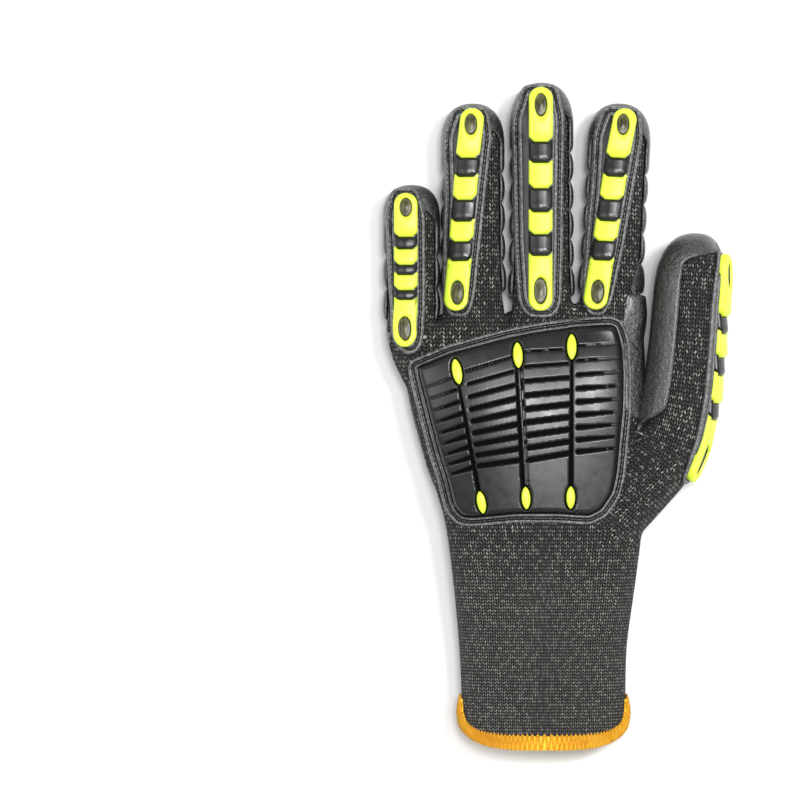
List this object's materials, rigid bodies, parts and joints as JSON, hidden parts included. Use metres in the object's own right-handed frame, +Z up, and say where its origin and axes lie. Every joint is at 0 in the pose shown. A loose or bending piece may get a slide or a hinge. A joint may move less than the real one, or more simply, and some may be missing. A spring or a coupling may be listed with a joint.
{
  "type": "anti vibration glove",
  "caption": "Left-hand anti vibration work glove: hollow knit liner, ribbed foam palm and fingers, rubber back strips with green inserts and a slotted knuckle guard.",
  "frame": {"origin": "middle of the bounding box at the level of the lowest foam ribs, where the glove rests", "axes": "+Y from the hem towards the fingertips, +X towards the thumb, +Z up out of the back of the hand"},
  "size_m": [0.1404, 0.2672, 0.0353],
  "materials": {
    "knit": "dark grey seamless knit with light flecks",
    "foam": "satin black foamed rubber, pebbled on the ribs",
    "guard_rubber": "semi-gloss black moulded rubber",
    "signal_green": "satin signal yellow-green moulded rubber",
    "hem": "yellow-orange overlocked yarn"
  },
  "bodies": {
    "root": {"knit_body": "knit", "knit_little": "knit", "knit_ring": "knit", "knit_middle": "knit", "knit_index": "knit", "knit_thumb": "knit", "cuff_hem": "hem", "palm_padding": "foam", "padding_little": "foam", "padding_ring": "foam", "padding_middle": "foam", "padding_index": "foam", "padding_thumb": "foam", "guard_little": "guard_rubber", "guard_ring": "guard_rubber", "guard_middle": "guard_rubber", "guard_index": "guard_rubber", "guard_thumb": "guard_rubber", "knuckle_guard": "guard_rubber", "insert_little_tip": "signal_green", "insert_little_upper": "signal_green", "insert_little_lower": "signal_green", "insert_little_root": "signal_green", "insert_ring_tip": "signal_green", "insert_ring_upper": "signal_green", "insert_ring_lower": "signal_green", "insert_ring_root": "signal_green", "insert_middle_tip": "signal_green", "insert_middle_upper": "signal_green", "insert_middle_lower": "signal_green", "insert_middle_root": "signal_green", "insert_index_tip": "signal_green", "insert_index_upper": "signal_green", "insert_index_lower": "signal_green", "insert_index_root": "signal_green", "insert_thumb_tip": "signal_green", "insert_thumb_upper": "signal_green", "insert_thumb_lower": "signal_green", "insert_thumb_root": "signal_green", "lens_1": "signal_green", "lens_2": "signal_green", "lens_3": "signal_green", "lens_4": "signal_green", "lens_5": "signal_green", "lens_6": "signal_green"}
  },
  "joints": []
}
